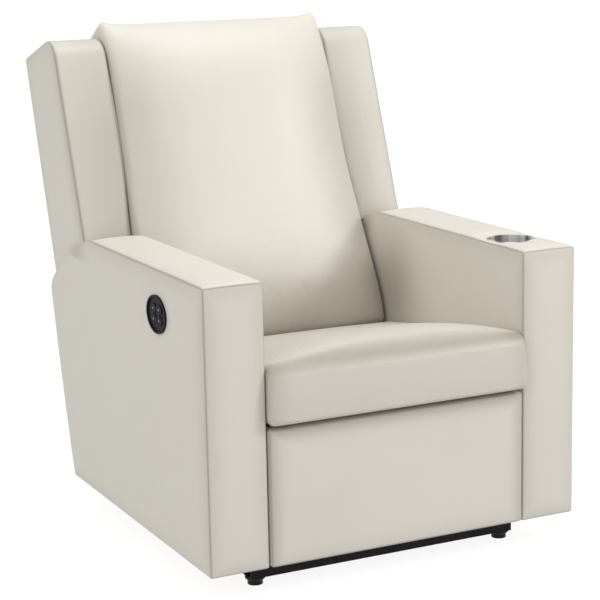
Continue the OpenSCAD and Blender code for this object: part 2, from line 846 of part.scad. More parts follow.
// Front of the cushion near its edges: shares of the length over the hinge, and of its lean
edge_lean = 97;
edge_w_share = [-0.137, 0.007, 0.142, 0.289, 0.429, 0.562, 0.708, 0.838, 0.937, 1];
edge_t_share = [-0.948, -1, -0.773, -0.66, -0.495, -0.443, -0.402, -0.34, -0.155, 0.072];
edge_table = [for (i = [0:len(edge_t_share) - 1]) [edge_w_share[i] * back_top, edge_t_share[i] * edge_lean]];
function back_half_at(w) = back_half * (1 - (1 - top_half_share) * max(0, w / back_top - 0.3) / 0.7);
function back_bump(w) = pow(max(0, min(1, (w / back_top - 0.09) / 0.25)), 1.5)
  * pow(max(0, min(1, (1 - w / back_top) / 0.22)), 0.6);
function back_ring(u) =
  let (low = back_low_w, high = back_top - top_sag * (1 - u * u), mid = (low + high) / 2,
    half = (high - low) / 2, outer = abs(u) > back_flange_share,
    draw = back_draw * pow(abs(u), 10))
  [for (j = [0:back_cols - 1])
    let (a = 360 * (j + 0.5) / back_cols, w = mid + (half - draw * 0.3) * se(sin(a), 6),
      edge = lookup(w, edge_table), front = edge + draw - back_crown * back_bump(w) * (1 - u * u),
      rear = outer ? edge + back_flange : max(edge + back_flange, back_cushion_rear),
      seam = edge + back_flange * 0.5, f = se(cos(a), 8))
    [u * back_half_at(w), f > 0 ? seam + (rear - seam) * f : seam + (seam - front) * f, w]];
module back_cushion() {
  cover() in_back() skin([for (i = [0:back_rings]) back_ring(-cos(180 * i / back_rings))]);
}

cover_low_w = -112;
cover_knee_w = 62;
cover_lip_t = 128;
cover_lip = 14.8;
cover_fold = 12.5;
module back_rear_cover() {
  cover() in_back() slab(-back_half, back_half)
    polygon([[back_rear, wing_top], [back_rear, cover_knee_w], [cover_lip_t, cover_low_w],
      [cover_lip_t - cover_lip, cover_low_w], [skin_t, cover_knee_w - cover_fold],
      [skin_t, frame_top], [back_cushion_rear + gap, frame_top], [back_cushion_rear + gap, wing_top]]);
}

// Wings: padded cheeks on boards, with their lower edges cut round over the arms
wing_front_t = -36;
wing_ease_t = -12;
wing_ease_share = 0.89;
wing_straight_share = 0.62;
wing_corner = 52;
wing_rings = 10;
wing_draw = 9;
wing_arc_end = 45;
wing_low_w = 100;
wing_arc = [for (i = [0:8]) let (a0 = acos(wing_front_t / wing_r), a = a0 + (wing_arc_end - a0) * i / 8)
  wing_r * [cos(a), sin(a)]];
wing_crest = [for (i = [0:6]) [wing_ease_t + wing_corner, wing_top - wing_corner]
  + wing_corner * [-cos(15 * i), sin(15 * i)]];
wing_outline = concat([[back_rear, wing_low_w]], [for (i = [8:-1:0]) wing_arc[i]],
  [[wing_front_t, wing_straight_share * wing_top],
    [(wing_front_t + wing_ease_t) / 2, wing_ease_share * wing_top - wing_corner]],
  wing_crest, [[back_rear, wing_top]]);
function wing_ring(u) =
  let (draw = wing_draw * pow(abs(u), 8), centre = [for (k = [0:1])
    [for (p = wing_outline) p[k]] * [for (p = wing_outline) 1] / len(wing_outline)])
  [for (i = [len(wing_outline) - 1:-1:0])
    let (p = wing_outline[i], d = p - centre, q = p - d * draw / norm(d))
    [wing_x1 - wing_w / 2 + u * wing_w / 2, q[0], q[1]]];
module wing() { skin([for (i = [0:wing_rings]) wing_ring(-cos(180 * i / wing_rings))]); }
module wing_left() { cover() in_back() mirror([1, 0, 0]) wing(); }
module wing_right() { cover() in_back() wing(); }
wing_board_in = 16;
module wing_boards() {
  wood() in_back() pair() slab(side_x, wing_x1 - wing_w) difference() {
    polygon([[wing_front_t + wing_board_in, 0],
      [wing_front_t + wing_board_in, wing_straight_share * wing_top],
      [wing_corner / 2, wing_top - wing_board_in], [back_rear, wing_top - wing_board_in], [back_rear, 0]]);
    circle(wing_r, $fn = 96);
    square([back_rear + over, wing_low_w]);
  }
}

base_front_bar();
base_rear_bar();
base_side_rails();
glide_feet();
side_plates();
hinge_bearings();
motor_crossbar();
frame_bolts();
seat_front_strap();
seat_rear_rail();
seat_springs();
seat_cushion();
rear_skirt();
arm_frames();
arm_inner_panel_left();
arm_outer_panel_left();
arm_top_pad_left();
arm_front_pad_left();
arm_rear_covers();
arm_inner_panel_right();
arm_outer_panel_right();
arm_top_pad_right();
arm_front_pad_right();
cup_liner();
cup_mat();
switch_bezel();
switch_body();
button_recline_back();
button_recline_up();
button_legs_out();
button_legs_in();
power_supply();
torque_tube();
drive_links();
carry_links();
tilt_links();
drive_link_pins();
bracket_pins();
footrest_brackets();
footrest_board();
footrest_pad();
legrest_motor();
legrest_rail();
legrest_crank();
legrest_slider();
recline_motor();
recline_rail();
recline_crank();
recline_slider();
back_uprights();
back_cross_rails();
wing_rails();
back_springs();
recline_arms();
recline_pins();
back_cushion();
back_rear_cover();
wing_left();
wing_right();
wing_boards();
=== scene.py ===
"""Cinema recliner with padded arms, a winged back, a cup holder and a side switch, in metres.
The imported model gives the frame; the pieces below dress it in the order it is put together."""
import math

import bmesh
import bpy
import numpy as np
from mathutils import Matrix, Vector
from mathutils.kdtree import KDTree


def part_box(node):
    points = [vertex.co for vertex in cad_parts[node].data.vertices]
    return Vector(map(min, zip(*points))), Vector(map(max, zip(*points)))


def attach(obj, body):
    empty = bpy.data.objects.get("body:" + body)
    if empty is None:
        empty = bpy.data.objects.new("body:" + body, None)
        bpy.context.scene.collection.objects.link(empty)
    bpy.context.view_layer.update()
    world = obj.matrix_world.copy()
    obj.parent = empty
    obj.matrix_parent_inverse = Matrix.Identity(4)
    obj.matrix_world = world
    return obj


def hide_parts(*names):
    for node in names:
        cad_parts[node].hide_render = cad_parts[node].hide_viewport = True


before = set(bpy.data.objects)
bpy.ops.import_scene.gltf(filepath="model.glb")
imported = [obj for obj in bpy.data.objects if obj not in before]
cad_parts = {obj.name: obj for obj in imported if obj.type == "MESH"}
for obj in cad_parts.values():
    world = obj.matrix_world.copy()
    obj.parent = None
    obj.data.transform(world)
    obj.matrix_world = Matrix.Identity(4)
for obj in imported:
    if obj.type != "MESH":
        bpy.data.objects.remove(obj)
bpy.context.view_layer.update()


# Left arm: a plywood box wrapped in thin foam and leatherette. One front panel, one top strip
# and two side panels are sewn together along the corners, so each face swells a little between
# crisp seams, and the side panel runs up behind the wing in a curve.
class Tap:
    """A shader socket that reckons like a number, and adds any other node."""

    def __init__(self, tree, socket=None):
        self.tree, self.socket = tree, socket

    def node(self, kind, settings=None, inputs=None, output=0):
        made = self.tree.nodes.new("ShaderNode" + kind)
        for name, value in (settings or {}).items():
            if name == "stops":
                ramp = made.color_ramp.elements
                while len(ramp) < len(value):
                    ramp.new(0.5)
                for stop, (place, tone) in zip(ramp, value):
                    stop.position, stop.color = place, (tone, tone, tone, 1)
            else:
                setattr(made, name, value)
        for name, value in (inputs or {}).items():
            if isinstance(value, Tap):
                self.tree.links.new(value.socket, made.inputs[name])
            else:
                made.inputs[name].default_value = value
        return Tap(self.tree, made.outputs[output])

    def reckon(self, operation, first, second):
        return self.node("Math", {"operation": operation}, {0: first, 1: second})

    def __add__(self, other):
        return self.reckon("ADD", self, other)

    def __sub__(self, other):
        return self.reckon("SUBTRACT", self, other)

    def __mul__(self, other):
        return self.reckon("MULTIPLY", self, other)


def finish_of(name, **even):
    """A new material with the shader's even values, its tap and its shader."""
    made = bpy.data.materials.new(name)
    made.use_nodes = True
    shader = made.node_tree.nodes["Principled BSDF"]
    for socket, value in even.items():
        shader.inputs[socket.replace("_", " ")].default_value = value
    return made, Tap(made.node_tree), shader


def join(tap, shader, **sockets):
    """Joins the parts of a finish that change over the surface to its shader."""
    for socket, value in sockets.items():
        tap.tree.links.new(value.socket, shader.inputs[socket.replace("_", " ")])


def tones(tap, share, dark, light):
    """A colour from dark to light, as a share of the way."""
    return tap.node("Mix", {"data_type": "RGBA"}, {0: share, 6: (*dark, 1), 7: (*light, 1)}, 2)


hide_light = (0.790, 0.755, 0.675)
hide_dark = (0.725, 0.685, 0.600)
# Dark taupe of the painted shade that the seam layer mixes into the leather.
painted_shade_colour = (0.40, 0.365, 0.30)
grain_size = 0.0011
weave_size = 0.0009
leatherette, tap, shader = finish_of("leatherette", Specular_IOR_Level=0.5, Sheen_Weight=0.08,
                                     Sheen_Roughness=0.45)
place = tap.node("TexCoord", output=3)
clouds = tap.node("TexNoise", inputs={"Vector": place, "Scale": 7.0, "Detail": 3.0})
fine = tap.node("TexNoise", inputs={"Vector": place, "Scale": 1 / (weave_size * 3), "Detail": 2.0})
cells = tap.node("TexVoronoi", {"feature": "SMOOTH_F1"},
                 {"Vector": place, "Scale": 1 / grain_size, "Smoothness": 0.6})
folds = tap.node("TexNoise", inputs={"Vector": place, "Scale": 16.0, "Detail": 3.0, "Distortion": 0.4})
# The seam layer is painted shade: it darkens the leather along seams, in creases, in corners and where
# parts meet.
seam = tap.node("Attribute", {"attribute_name": "seam"}, output=2)
hide_tone_and_shade = tones(tap, clouds * 0.7 + fine * 0.5 - 0.1, hide_dark, hide_light)
hide_tone_and_shade = tap.node("Mix", {"data_type": "RGBA"}, {0: seam, 6: hide_tone_and_shade, 7: (*painted_shade_colour, 1)}, 2)
grain = tap.node("Bump", inputs={"Strength": 0.22, "Distance": 0.0003, "Height": cells * 0.7 + fine * 0.5})
grain = tap.node("Bump", inputs={"Strength": 0.25, "Distance": 0.004, "Height": folds, "Normal": grain})
join(tap, shader, Base_Color=hide_tone_and_shade, Roughness=clouds * 0.12 + cells * 0.06 + 0.34, Normal=grain)


def gridded(cells):
    """A box of quads from -1 to 1 on each axis, cut into cells that draw together at its edges."""
    mesh = bmesh.new()
    bmesh.ops.create_cube(mesh, size=2)
    for axis, count in enumerate(cells):
        along = [e for e in mesh.edges if abs((e.verts[0].co - e.verts[1].co)[axis]) > 0.001]
        bmesh.ops.subdivide_edges(mesh, edges=along, cuts=count - 1)
    return mesh


def drawn_in(share, pull=0.8):
    """Moves a place from -1 to 1 towards the nearer end, so that the cells are finest there."""
    return (1 - pull) * share + pull * math.sin(share * math.pi / 2)


def fade(distance, width):
    """How much of a tone or a dip is left away from its middle: a bell curve from 1 down to 0."""
    return math.exp(-(distance / width) ** 2)


def swell(depth, soft):
    """How far a padded face has risen at a depth inside its seam, from 0 to 1."""
    return 1 - math.exp(-max(depth, 0) / soft)


seam_shade_w = 0.6
beside_seam_shade, beside_seam_shade_w = 0.22, 0.024


def seamed_box(size, cells, radius, rise=((0, 0), (0, 0), (0, 0)), soft=0.02):
    """A box with round edges whose faces swell between their seams. Size holds the half lengths
    and rise how far each face swells: a pair for each axis, its low side first. Its seam layer
    is painted shade: 1 along the seams, and a little more than 0 beside them, but for the top face."""
    mesh = gridded(cells)
    shade = mesh.verts.layers.float.new("seam")
    for v in mesh.verts:
        share = [drawn_in(c) for c in v.co]
        flat = Vector([s * h for s, h in zip(share, size)])
        held = Vector([max(radius - h, min(h - radius, p)) for p, h in zip(flat, size)])
        off = flat - held
        spot = held + off * (radius / off.length)
        for axis in range(3):
            if abs(abs(share[axis]) - 1) < 1e-6:
                side = 1 if share[axis] > 0 else 0
                depths = [size[k] - abs(flat[k]) for k in range(3) if k != axis]
                lift = rise[axis][side] * swell(depths[0], soft) * swell(depths[1], soft)
                spot[axis] += lift if side else -lift
        v.co = spot
        # Painted shade along the seams, and a little beside them but for the top face.
        inside = sorted(h - abs(p) for p, h in zip(flat, size))
        on_top = share[2] > 0.999
        beside = 0 if on_top else beside_seam_shade * fade(inside[1], beside_seam_shade_w)
        v[shade] = max(fade(inside[1], radius * seam_shade_w), beside)
    return mesh


def piece(name, mesh, body, finish, smooth=1):
    """Makes the mesh an object with one finish that moves with a body."""
    bmesh.ops.recalc_face_normals(mesh, faces=mesh.faces)
    for face in mesh.faces:
        face.smooth = True
    data = bpy.data.meshes.new(name)
    mesh.to_mesh(data)
    mesh.free()
    data.materials.append(finish)
    made = bpy.data.objects.new(name, data)
    bpy.context.scene.collection.objects.link(made)
    if smooth:
        smoother = made.modifiers.new("smooth", "SUBSURF")
        smoother.levels = smoother.render_levels = smooth
    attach(made, body)
    return made


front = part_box("arm_front_pad_left")[0].y
arm_low, arm_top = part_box("arm_front_pad_left")[0].z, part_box("arm_front_pad_left")[1].z
arm_in, arm_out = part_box("arm_front_pad_right")[0].x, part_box("arm_front_pad_right")[1].x
pivot = Vector((0, front + 0.650, 0.395))
swing_gap_r = 0.177
swing_step = 0.012
core_out = 0.386
arm_rear = [(0.055, 0.754), (0.259, 0.810), (0.440, 0.852), (0.462, 0.8565), (0.477, 0.851),
            (0.493, 0.834), (0.516, 0.798), (0.5445, 0.761), (0.5665, 0.721), (0.584, 0.678),
            (0.597, 0.632), (0.605, 0.592)]
arm_longest = 0.8565
arm_seam_r = 0.0045
arm_rise = ((0, 0.005), (0.007, 0), (0, 0.008))
arm_soft = 0.018
corner_y, corner_z = 0.02, 0.44
# Painted shade on the arm: in the inner corner by the seat and the back, and on the top under the wing.
corner_shade, corner_shade_w = 0.8, 0.10
under_wing_y, under_wing_z = 0.17, 0.56
under_wing_shade, under_wing_shade_w = 0.5, 0.06


def arm_reach_at(height, aside):
    """How far back the arm runs at a height: the panel's curve outside, the cut-back core inside."""
    panel = float(np.interp(height, *zip(*arm_rear)))
    if aside > core_out - 0.0005 or height < pivot.z - swing_gap_r / 2:
        return panel
    arc = math.sqrt(max(swing_gap_r ** 2 - (height - pivot.z) ** 2, 0))
    return min(panel, pivot.y - front + max(swing_step, arc))


def arm_shell():
    """One arm on the right-hand side: a seamed box drawn out to the arm's side outline. It has
    painted shade where it meets the wing, and inside where it meets the seat and the back."""
    half = Vector((arm_out - arm_in, arm_longest, arm_top - arm_low)) / 2
    mesh = seamed_box(half, (26, 76, 64), arm_seam_r, arm_rise, arm_soft)
    shade = mesh.verts.layers.float["seam"]
    for v in mesh.verts:
        across = v.co.x + half.x + arm_in
        height = v.co.z + half.z + arm_low
        reach = arm_reach_at(min(max(height, arm_low), arm_top), across)
        v.co = (across, front + (v.co.y + half.y) * reach / (2 * half.y), height)
        # Painted shade where the wing meets the arm's top, and in the inner corner by the seat and the
        # back.
        if height > under_wing_z:
            v[shade] = max(v[shade], under_wing_shade * fade(v.co.y - under_wing_y, under_wing_shade_w))
        if across < arm_in + 0.001:
            from_corner = math.hypot(v.co.y - corner_y, (height - corner_z) * 0.8)
            v[shade] = max(v[shade], corner_shade * fade(from_corner, corner_shade_w))
    return mesh


switch_low, switch_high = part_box("switch_bezel")
switch_y, switch_z = (switch_low.y + switch_high.y) / 2, (switch_low.z + switch_high.z) / 2
switch_l, switch_h = switch_high.y - switch_low.y, switch_high.z - switch_low.z
bezel_lap = 0.011
pocket_l, pocket_h = switch_l - bezel_lap, switch_h - bezel_lap
pocket_depth = 0.040
press_w = 0.030


def pressed(v, axis, level, near):
    """Holds a swollen face down to its level round a part let into it."""
    if v.co[axis] > level:
        v.co[axis] = level + (v.co[axis] - level) * min(max(near / press_w, 0), 1) ** 1.5


def bored(owner, drill_mesh):
    """Cuts the hole that the drill's mesh fills out of a piece."""
    data = bpy.data.meshes.new("drill")
    drill_mesh.to_mesh(data)
    drill_mesh.free()
    drill = bpy.data.objects.new("drill", data)
    bpy.context.scene.collection.objects.link(drill)
    hole = owner.modifiers.new("hole", "BOOLEAN")
    hole.operation, hole.object, hole.solver = "DIFFERENCE", drill, "EXACT"
    cut = bpy.data.meshes.new_from_object(owner.evaluated_get(bpy.context.evaluated_depsgraph_get()))
    owner.modifiers.clear()
    owner.data = cut
    bpy.data.objects.remove(drill)


mesh = arm_shell()
for v in mesh.verts:
    near = math.hypot((v.co.y - switch_y) / switch_l * 2, (v.co.z - switch_z) / switch_h * 2) - 1
    pressed(v, 0, arm_out, near * switch_h / 2)
bmesh.ops.scale(mesh, vec=(-1, 1, 1), verts=mesh.verts)
arm = piece("arm_left", mesh, "base", leatherette)
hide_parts("arm_inner_panel_left", "arm_outer_panel_left", "arm_top_pad_left",
            "arm_front_pad_left", "arm_rear_covers")
mesh = bmesh.new()
bmesh.ops.create_cone(mesh, cap_ends=True, segments=80, radius1=0.5, radius2=0.5, depth=1)
bmesh.ops.rotate(mesh, cent=(0, 0, 0), matrix=Matrix.Rotation(math.pi / 2, 3, "Y"), verts=mesh.verts)
bmesh.ops.scale(mesh, vec=(2 * pocket_depth, pocket_l, pocket_h), verts=mesh.verts)
bmesh.ops.translate(mesh, vec=(-arm_out, switch_y, switch_z), verts=mesh.verts)
bored(arm, mesh)

# Right arm: built like the left one, with a round hole cut in its top for the cup holder. The
# foam is pressed flat under the cup's rim.
cup_low, cup_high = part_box("cup_liner")
cup_x, cup_y = (cup_low.x + cup_high.x) / 2, (cup_low.y + cup_high.y) / 2
cup_rim_r = (cup_high.x - cup_low.x) / 2
cup_rim_lap = 0.0035
cup_hole_r = cup_rim_r - cup_rim_lap
cup_hole_depth, drill_l = 0.08, 0.2
mesh = arm_shell()
for v in mesh.verts:
    pressed(v, 2, arm_top, math.hypot(v.co.x - cup_x, v.co.y - cup_y) - cup_rim_r)
arm = piece("arm_right", mesh, "base", leatherette)
mesh = bmesh.new()
bmesh.ops.create_cone(mesh, cap_ends=True, segments=96, radius1=cup_hole_r, radius2=cup_hole_r,
                      depth=drill_l)
bmesh.ops.translate(mesh, vec=(cup_x, cup_y, arm_top - cup_hole_depth + drill_l / 2), verts=mesh.verts)
bored(arm, mesh)
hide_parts("arm_inner_panel_right", "arm_outer_panel_right", "arm_top_pad_right",
            "arm_front_pad_right")

# Seat cushion: a foam block in a sewn cover. A boxing strip runs round it, and the top panel
# swells from its seam behind the front edge, is crowned across, and falls to the rear.
seat_low, seat_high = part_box("seat_cushion")
seat_side_gap, seat_t = 0.0003, 0.114
seat_half = Vector((seat_high.x - seat_side_gap, (seat_high.y - seat_low.y) / 2, seat_t / 2))
seat_round = 0.009
seat_crown, seat_rear_crown, seat_bow_power = 0.041, -0.002, 2.8
seat_fall = 0.080
seat_swell = 0.024
seat_front_swell, seat_front_soft = 0.006, 0.02
lip_deep = 0.02
seat_lip, seat_lip_w = 0.010, 0.005
crease_in = 0.005
crease_w = 0.013
crease_depth = 0.003
roll_w, roll_back = 0.030, 0.011
# Painted shade on the seat: a little all over, more on top, in the crease behind the front edge, and at
# the front's ends by the arms.
seat_shade, seat_top_shade = 0.20, 0.12
crease_shade, crease_shade_in, crease_shade_w = 0.55, 0.004, 0.017
seat_end_shade, seat_end_shade_w = 0.25, 0.03
held_rim, held_front = 0.012, 0.7
cover_pressure = 4
cover_frames = 20


def filled(made, reach, cell):
    """Blows a cover out between its held seams by cloth simulation, each point within reach. The
    cloth is woven anew in even cells first."""
    scene, shape = bpy.context.scene, made.data
    near = KDTree(len(shape.vertices))
    for v in shape.vertices:
        near.insert(v.co, v.index)
    near.balance()
    cover = bpy.data.objects.new("cover", shape.copy())
    scene.collection.objects.link(cover)
    mended = cover.modifiers.new("even", "REMESH")
    mended.mode, mended.voxel_size = "VOXEL", cell
    even = bpy.data.meshes.new_from_object(cover.evaluated_get(bpy.context.evaluated_depsgraph_get()))
    cover.modifiers.clear()
    cover.data = even
    spots = [v.co.copy() for v in even.vertices]
    closest = [near.find(spot)[1] for spot in spots]
    held = cover.vertex_groups.new(name="held")
    for index, other in enumerate(closest):
        held.add([index], shape.attributes["held"].data[other].value, "REPLACE")
    leather = cover.modifiers.new("leather", "CLOTH").settings
    leather.use_pressure, leather.uniform_pressure_force = True, cover_pressure
    leather.vertex_group_mass, leather.effector_weights.gravity = "held", 0
    for frame_number in range(1, cover_frames + 1):
        scene.frame_set(frame_number)
    blown = cover.evaluated_get(bpy.context.evaluated_depsgraph_get()).to_mesh()
    moves = [v.co - spot for v, spot in zip(blown.vertices, spots)]
    # The seam layer's painted shade is carried over to the new cells.
    shade = even.attributes.new("seam", "FLOAT", "POINT")
    for v, spot, move, other in zip(even.vertices, spots, moves, closest):
        free = reach * (1 - shape.attributes["held"].data[other].value)
        v.co = spot + move * min(1, free / max(move.length, 1e-9))
        shade.data[v.index].value = shape.attributes["seam"].data[other].value
    cover.modifiers.clear()
    scene.frame_set(1)
    even.materials.clear()
    even.materials.append(made.active_material)
    even.shade_smooth()
    made.data = even
    bpy.data.objects.remove(cover)


mesh = seamed_box(seat_half, (76, 84, 36), seat_round)
held = mesh.verts.layers.float.new("held")
shade = mesh.verts.layers.float["seam"]
for v in mesh.verts:
    x, y, z = v.co
    in_front = y + seat_half.y
    depth = in_front - crease_in
    back = max(depth, 0) / (2 * seat_half.y - crease_in)
    up = (z + seat_half.z) / (2 * seat_half.z)
    bow = 1 - min(abs(x) / seat_half.x, 1) ** seat_bow_power
    crown = (seat_crown + (seat_rear_crown - seat_crown) * back) * bow
    rise = crown * swell(depth, seat_swell) * swell(seat_half.y - y, seat_swell)
    below = (1 - up) * 2 * seat_half.z
    dip = fade(depth, crease_w) * fade(below, crease_w)
    z = seat_low.z + up * (2 * seat_half.z - seat_fall * back) + rise * up ** 3 - crease_depth * dip
    if y < 0:
        plump = swell(seat_half.x - abs(x), seat_front_soft) * max(math.sin(math.pi * up), 0) ** 0.7
        y -= seat_front_swell * plump
        lip = (1 - max(up, 0)) * max(1 - in_front / lip_deep, 0)
        y -= seat_lip * lip
        x += math.copysign(seat_lip_w * lip * (abs(x) / seat_half.x) ** 8, x)
    y += roll_back * max(1 - in_front / roll_w, 0) * max(1 - below / roll_w, 0) ** 2
    # Painted shade: the whole seat a little, the top more, the crease, and the front's ends near the arms.
    v[shade] = seat_shade + seat_top_shade * up ** 4
    v[shade] += crease_shade * fade(depth + crease_shade_in, crease_shade_w) * fade(below, crease_shade_w)
    if in_front < lip_deep:
        v[shade] += seat_end_shade * fade(seat_half.x - abs(x), seat_end_shade_w)
    rim = min(seat_half.x - abs(x), up * 2 * seat_half.z, seat_half.y - y)
    v[held] = max(1 - max(rim, 0) / held_rim, dip ** 2, held_front * (in_front < crease_in), 0)
    v.co = (x, y + (seat_low.y + seat_high.y) / 2, z)
seat = piece("seat_pad", mesh, "base", leatherette)
filled(seat, reach=0.020, cell=0.006)
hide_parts("seat_cushion")

# Back cushion: a tall loose-looking pillow of foam and fibre, sewn from a front and a rear panel.
# It is thickest low down, thins and leans back towards its top, and its two top corners stand
# out in points.
rake = math.radians(17.2)


def raked(across, back, up):
    """A place on the back: across the seat, behind the hinge line and up along the back."""
    return Vector((across, pivot.y + back * math.cos(rake) + up * math.sin(rake),
                   pivot.z - back * math.sin(rake) + up * math.cos(rake)))


pillow_low, pillow_high = -0.066, 0.673
pillow_half, pillow_top_half = 0.2765, 0.258
pillow_rear = 0.0955
pillow_round = 0.018
pillow_half_t = 0.075
pillow_crown, pillow_crown_power = 0.050, 2.6
fills_from, fills_over, thins_over = -0.13, 0.2, 0.25
narrows_from = 0.3
pillow_waist = 0.006
pillow_sag = 0.006
pillow_edge = [(-0.092, -0.092), (0.005, -0.097), (0.095, -0.075), (0.194, -0.064), (0.288, -0.048),
               (0.377, -0.043), (0.475, -0.039), (0.562, -0.033), (0.629, -0.015), (0.671, 0.007)]
pillow_lean = np.polyfit(*zip(*pillow_edge), 5)
point_drop = 0.026
point_up, point_out = 0.014, 0.010
point_from_level, point_from_side = 0.86, 0.8
# Painted shade on the pillow: along its sides, and low down where it rests on the seat.
pillow_edge_shade, pillow_edge_shade_w = 0.42, 0.09
pillow_low_shade, pillow_low_shade_w, pillow_rest_up = 0.9, 0.075, 0.035
low_shade_middle = 0.55
held_behind = 0.4
flat = Vector((pillow_half, pillow_half_t, (pillow_high - pillow_low) / 2))
mesh = seamed_box(flat, (80, 26, 96), pillow_round)
shade = mesh.verts.layers.float["seam"]
held = mesh.verts.layers.float.new("held")
for v in mesh.verts:
    side, level = v.co.x / flat.x, (v.co.z / flat.z + 1) / 2
    through = (v.co.y + flat.y) / (2 * flat.y)
    up = pillow_low + level * (pillow_high - pillow_low) - pillow_sag * level ** 8 * (1 - side ** 2)
    up -= point_drop * through * level ** 30 * abs(side) ** 3
    point_level = min(max((level - point_from_level) / (1 - point_from_level), 0), 1)
    point_side = min(max((abs(side) - point_from_side) / (1 - point_from_side), 0), 1)
    point = point_level ** 2 * point_side ** 2
    taper = max(0, up / pillow_high - narrows_from) / (1 - narrows_from)
    half = pillow_half + (pillow_top_half - pillow_half) * taper
    half += point_out * point - pillow_waist * math.sin(math.pi * level) ** 2
    rising = min(max((up / pillow_high - fills_from) / fills_over, 0), 1)
    falling = min(max((1 - up / pillow_high) / thins_over, 0), 1)
    full = (rising ** 2 * (3 - 2 * rising)) * (falling * (2 - falling)) ** 0.7
    crown = pillow_crown * (1 - abs(side) ** pillow_crown_power)
    lean = float(np.polyval(pillow_lean, up)) - full * crown
    back = lean + through * (pillow_rear - lean)
    up += point_up * point * (1 - through / 2)
    inside = (1 - abs(side)) * half
    rim = min(inside, (1 - level) * 2 * flat.z, level * 2 * flat.z)
    # Painted shade: low down where the pillow meets the seat, most towards its ends, and along its sides.
    low = fade(max(up - pillow_rest_up, 0), pillow_low_shade_w)
    low *= low_shade_middle + (1 - low_shade_middle) * fade(inside, pillow_low_shade_w)
    edge = fade(inside, pillow_edge_shade_w) * min((1 - level) * 4, 1)
    v[shade] = max(pillow_edge_shade * edge, pillow_low_shade * low)
    v[held] = 1 if through > held_behind else max(1 - max(rim, 0) / held_rim, 0)
    v.co = raked(side * half, back, up)
pillow = piece("back_pillow", mesh, "back", leatherette)
filled(pillow, reach=0.022, cell=0.0078)
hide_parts("back_cushion")

# Wings: padded cheeks on plywood, one each side of the pillow, which they lean in to meet. A plump
# strip runs up the front between two side panels, the top front corner is rounded, and the lower
# end is cut in an arc that clears the arm when the back lies down.
wing_in, wing_out = 0.2768, 0.384
wing_front, wing_eased = -0.036, -0.012
wing_top, wing_rear = 0.645, 0.187
wing_corner = 0.052
wing_arc_r = 0.1805
wing_low_up = 0.100
wing_close, wing_close_waist = 0.013, 0.009
wing_round = 0.009
wing_rise = ((0, 0.0005), (0.007, 0.003), (0, 0.004))
wing_soft = 0.022
# Painted shade on each wing's front, darkest at its inner edge by the pillow, less towards the top.
wing_shade, wing_shade_w, wing_shade_deep, wing_shade_up = 0.74, 0.12, 0.12, 1.5


def wing_front_at(up):
    """The front line of the wing: a straight line that eases back, round at the top."""
    ease = min(max((up - wing_low_up) / (wing_top - wing_low_up), 0), 1)
    line = wing_front + (wing_eased - wing_front) * ease
    over = max(up - (wing_top - wing_corner), 0)
    return line + wing_corner - math.sqrt(max(wing_corner ** 2 - over ** 2, 0))


def wing_under_at(back):
    """The lower line of the wing: the arc round the hinge, then straight to the rear."""
    turn = wing_arc_r * math.cos(math.pi / 4)
    if back < turn:
        return math.sqrt(wing_arc_r ** 2 - back ** 2)
    return turn + (wing_low_up - turn) * (back - turn) / (wing_rear - turn)


for name, hand in (("wing_left", -1), ("wing_right", 1)):
    flat = Vector((wing_out - wing_in, wing_rear - wing_front, wing_top - wing_low_up)) / 2
    mesh = seamed_box(flat, (26, 44, 80), wing_round, wing_rise, wing_soft)
    shade = mesh.verts.layers.float["seam"]
    for v in mesh.verts:
        through, level = v.co.y / (2 * flat.y) + 0.5, v.co.z / (2 * flat.z) + 0.5
        base = wing_under_at(wing_front + min(max(through, 0), 1) * (wing_rear - wing_front))
        up = base + level * (wing_top - base)
        start = wing_front_at(min(up, wing_top))
        back = start + through * (wing_rear - start)
        inner = 0.5 - v.co.x / (2 * flat.x)
        waist = wing_close_waist * math.sin(math.pi * level) ** 2
        inward = (wing_close * max(up / wing_top, 0) + waist) * inner
        # Painted shade at the front's inner edge, beside the pillow.
        beside = fade((1 - inner) * 2 * flat.x, wing_shade_w) * fade(through, wing_shade_deep)
        v[shade] = max(v[shade], wing_shade * beside * min(1, wing_shade_up - level))
        v.co = raked(hand * (v.co.x + flat.x + wing_in - inward), back, up)
    cheek = piece(name + "_cover", mesh, "back", leatherette)
    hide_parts(name, *(["wing_boards"] if hand < 0 else []))

# Rear cover: one stretched panel over thin foam closes the back between the wings. It folds in
# under its lower end, and a narrow strip closes the top behind the pillow.
panel_half = 0.2735
panel_t = 0.019
panel_low, panel_knee = -0.112, 0.062
panel_lip = 0.128
strip_gap, strip_end_gap, strip_t = 0.0015, 0.001, 0.008
flat = Vector((panel_half, panel_t / 2, (wing_top - panel_low) / 2))
mesh = seamed_box(flat, (60, 8, 84), radius=0.004, rise=((0, 0), (0, 0.005), (0, 0)), soft=0.03)
for v in mesh.verts:
    up = v.co.z + flat.z + panel_low
    fold = max(panel_knee - up, 0) / (panel_knee - panel_low)
    v.co = raked(v.co.x, v.co.y + wing_rear - panel_t / 2 - fold * (wing_rear - panel_lip), up)
panel = piece("rear_panel_cover", mesh, "back", leatherette)
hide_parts("back_rear_cover")
flat = Vector((panel_half, (wing_rear - pillow_rear - panel_t) / 2 - strip_end_gap, strip_t / 2))
mesh = seamed_box(flat, (60, 16, 6), radius=0.003, rise=((0, 0), (0, 0), (0, 0.002)), soft=0.02)
for v in mesh.verts:
    v.co = raked(v.co.x, v.co.y + pillow_rear + strip_gap + flat.y, v.co.z + wing_top - strip_t / 2)
piece("rear_top_strip", mesh, "back", leatherette)

